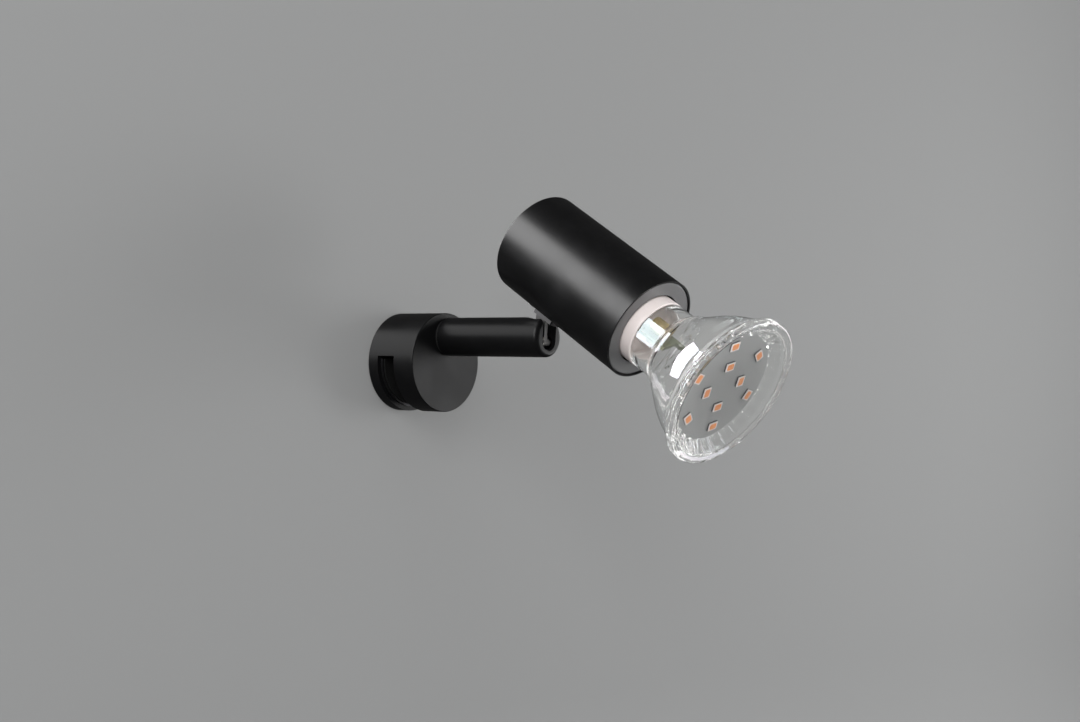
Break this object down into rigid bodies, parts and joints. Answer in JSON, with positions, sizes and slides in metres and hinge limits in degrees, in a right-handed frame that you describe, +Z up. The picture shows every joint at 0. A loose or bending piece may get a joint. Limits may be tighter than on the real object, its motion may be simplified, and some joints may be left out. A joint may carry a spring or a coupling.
{
  "type": "pivoting spotlight wall light",
  "caption": "Small pivoting wall spotlight: round base with a mirror-edge slot, swivelling arm, tilting cylindrical head and a clear glass reflector lamp.",
  "frame": {"origin": "centre of the base's back face, on the wall", "axes": "+Y points into the wall, -Y away from it along the arm, +Z is up, +X is to the right of somebody who faces the wall"},
  "size_m": [0.05, 0.1472, 0.0829],
  "materials": {
    "black_coat": "satin black powder coat",
    "grey_disc": "satin grey",
    "zinc": "dull dark zinc plate",
    "blackened_steel": "black oxide",
    "spring_steel": "tempered",
    "pad_rubber": "matt",
    "black_plastic": "matt moulded",
    "white_nylon": "matt moulded",
    "ceramic": "unglazed ceramic",
    "contact_brass": "rolled strip",
    "wire_cover": "smooth insulation",
    "lamp_white": "satin white",
    "pin_metal": "nickel plate",
    "clear_glass": "clear polished glass",
    "board_white": "pale grey solder mask",
    "phosphor": "silicone over phosphor",
    "board_green": "laminate",
    "component_body": "moulded"
  },
  "bodies": {
    "root": {"base_housing": "black_coat", "clamp_pad_front": "pad_rubber", "cable_inlet_bush": "black_plastic", "swivel_seat_washer": "black_plastic", "swivel_stop_pin": "spring_steel"},
    "clamp": {"clamp_plate": "blackened_steel", "clamp_pad_rear": "pad_rubber", "clamp_screws": "blackened_steel"},
    "arm": {"arm_tube": "black_coat", "arm_nipple": "zinc", "swivel_spring_washer": "spring_steel", "swivel_stop_washer": "zinc", "swivel_lock_nut": "zinc", "hinge_screw": "blackened_steel", "hinge_nut": "zinc", "hinge_washer": "white_nylon", "hinge_bush": "zinc", "hinge_spring_washer": "spring_steel", "arm_leads": "wire_cover"},
    "head": {"hinge_bracket": "zinc", "bracket_screws": "zinc", "head_shell": "black_coat", "head_wire_bush": "black_plastic", "front_plate": "grey_disc", "lampholder": "ceramic", "holder_contacts": "contact_brass", "holder_bridge": "zinc", "holder_screws": "zinc", "head_leads": "wire_cover"},
    "lamp": {"lamp_base": "lamp_white", "lamp_pins": "pin_metal", "lamp_glass": "clear_glass", "lamp_cover": "clear_glass", "led_board": "board_white", "led_chips": "phosphor", "driver_board": "board_green", "driver_parts": "component_body"}
  },
  "joints": [
    {"name": "arm_swivel", "type": "hinge", "parent": "root", "child": "arm", "pos_m": [0, -0.0203, 0.0087], "axis": [0, -1, 0], "range_deg": [-162, 162]},
    {"name": "head_tilt", "type": "hinge", "parent": "arm", "child": "head", "pos_m": [0, -0.0603, 0.0072], "axis": [1, 0, 0], "range_deg": [-21, 58]},
    {"name": "lamp_twist", "type": "hinge", "parent": "head", "child": "lamp", "pos_m": [0, -0.10302, 0.01117], "axis": [0, -0.8526, -0.5225], "range_deg": [0, 25]},
    {"name": "clamp_travel", "type": "slide", "parent": "root", "child": "clamp", "axis": [0, -1, 0], "range_m": [0, 0.0025]}
  ]
}
